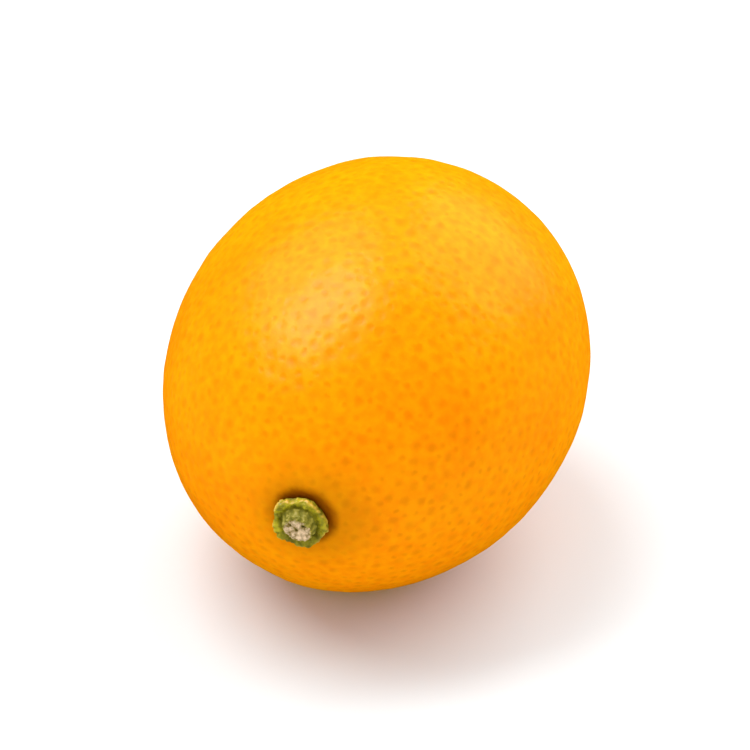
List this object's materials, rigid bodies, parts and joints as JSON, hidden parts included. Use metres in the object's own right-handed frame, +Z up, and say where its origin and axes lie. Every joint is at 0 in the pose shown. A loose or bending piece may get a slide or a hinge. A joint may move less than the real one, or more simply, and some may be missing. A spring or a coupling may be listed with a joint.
{
  "type": "kumquat",
  "caption": "Whole picked kumquat lying on its side, an egg-shaped citrus fruit with a pitted orange rind, green calyx and cut stem stub.",
  "frame": {"origin": "on the surface that the fruit lies on, straight under its middle, inside the flat spot that it rests on", "axes": "+Z up; the long axis runs along Y, with the calyx and cut stem at the -Y end and the blossom end at +Y; +X across the fruit"},
  "size_m": [0.0304, 0.0362, 0.0293],
  "materials": {
    "rind": "satin",
    "calyx": "matte",
    "stem": "matte"
  },
  "bodies": {
    "root": {"fruit": "rind", "calyx": "calyx", "stem_stub": "stem"}
  },
  "joints": []
}
